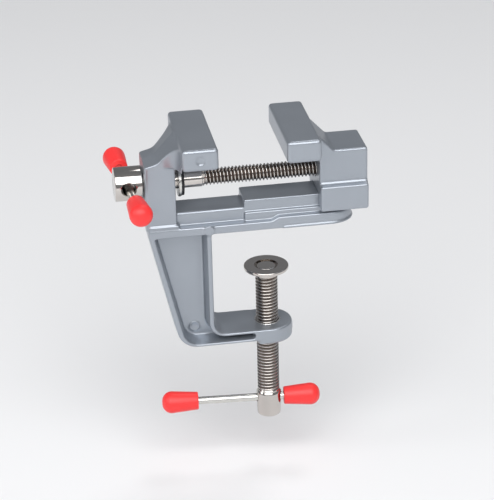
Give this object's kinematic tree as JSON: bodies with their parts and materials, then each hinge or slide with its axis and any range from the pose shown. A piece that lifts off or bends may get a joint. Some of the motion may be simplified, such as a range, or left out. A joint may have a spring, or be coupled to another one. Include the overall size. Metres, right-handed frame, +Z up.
{
  "type": "clamp-on bench vise",
  "caption": "Small clamp-on bench vise: sliding jaw on a screw with a tommy bar, C-shaped table clamp with a swivel pad.",
  "frame": {"origin": "underside of the base flange, where it rests on a table, on the clamp screw's axis", "axes": "+Z up; +X along the main screw, from the fixed jaw towards the moving jaw; Y along the jaws' width"},
  "size_m": [0.0886, 0.0578, 0.1139],
  "materials": {
    "casting": "satin",
    "plated_steel": "polished",
    "bright_steel": "brushed",
    "black_steel": "satin",
    "red_cap": "gloss"
  },
  "bodies": {
    "base": {"vise_body": "casting"},
    "sliding_jaw": {"sliding_jaw": "casting"},
    "main_screw": {"main_screw": "plated_steel", "thrust_washer": "bright_steel", "retaining_clip": "black_steel"},
    "main_bar": {"main_bar": "bright_steel", "main_bar_cap_near": "red_cap", "main_bar_cap_far": "red_cap"},
    "clamp_pad": {"clamp_pad": "plated_steel"},
    "clamp_screw": {"clamp_screw": "plated_steel"},
    "clamp_bar": {"clamp_bar": "bright_steel", "clamp_bar_cap_left": "red_cap", "clamp_bar_cap_right": "red_cap"}
  },
  "joints": [
    {"name": "main_screw_turn", "type": "hinge", "parent": "base", "child": "main_screw", "pos_m": [0, 0, 0.0182], "axis": [1, 0, 0], "range_deg": [-1900.7, 6710.3]},
    {"name": "jaw_slide", "type": "slide", "parent": "base", "child": "sliding_jaw", "axis": [1, 0, 0], "range_m": [-0.0233, 0.0066]},
    {"name": "main_bar_slide", "type": "slide", "parent": "main_screw", "child": "main_bar", "axis": [-0.0715, 0.9974, 0], "range_m": [-0.0092, 0.0092]},
    {"name": "clamp_pad_slide", "type": "slide", "parent": "base", "child": "clamp_pad", "axis": [0, 0, 1], "range_m": [-0.0182, 0.0174]},
    {"name": "clamp_screw_turn", "type": "hinge", "parent": "clamp_pad", "child": "clamp_screw", "pos_m": [0, 0, -0.0451], "axis": [0, 0, 1], "range_deg": [-5241, 5011]},
    {"name": "clamp_bar_slide", "type": "slide", "parent": "clamp_screw", "child": "clamp_bar", "axis": [0.9972, -0.075, 0], "range_m": [-0.0008, 0.0212]}
  ],
  "couplings": [
    {"joint": "jaw_slide", "follows": "main_screw_turn", "m_per_rad": -0.00019894},
    {"joint": "clamp_pad_slide", "follows": "clamp_screw_turn", "m_per_rad": 0.00019894}
  ]
}
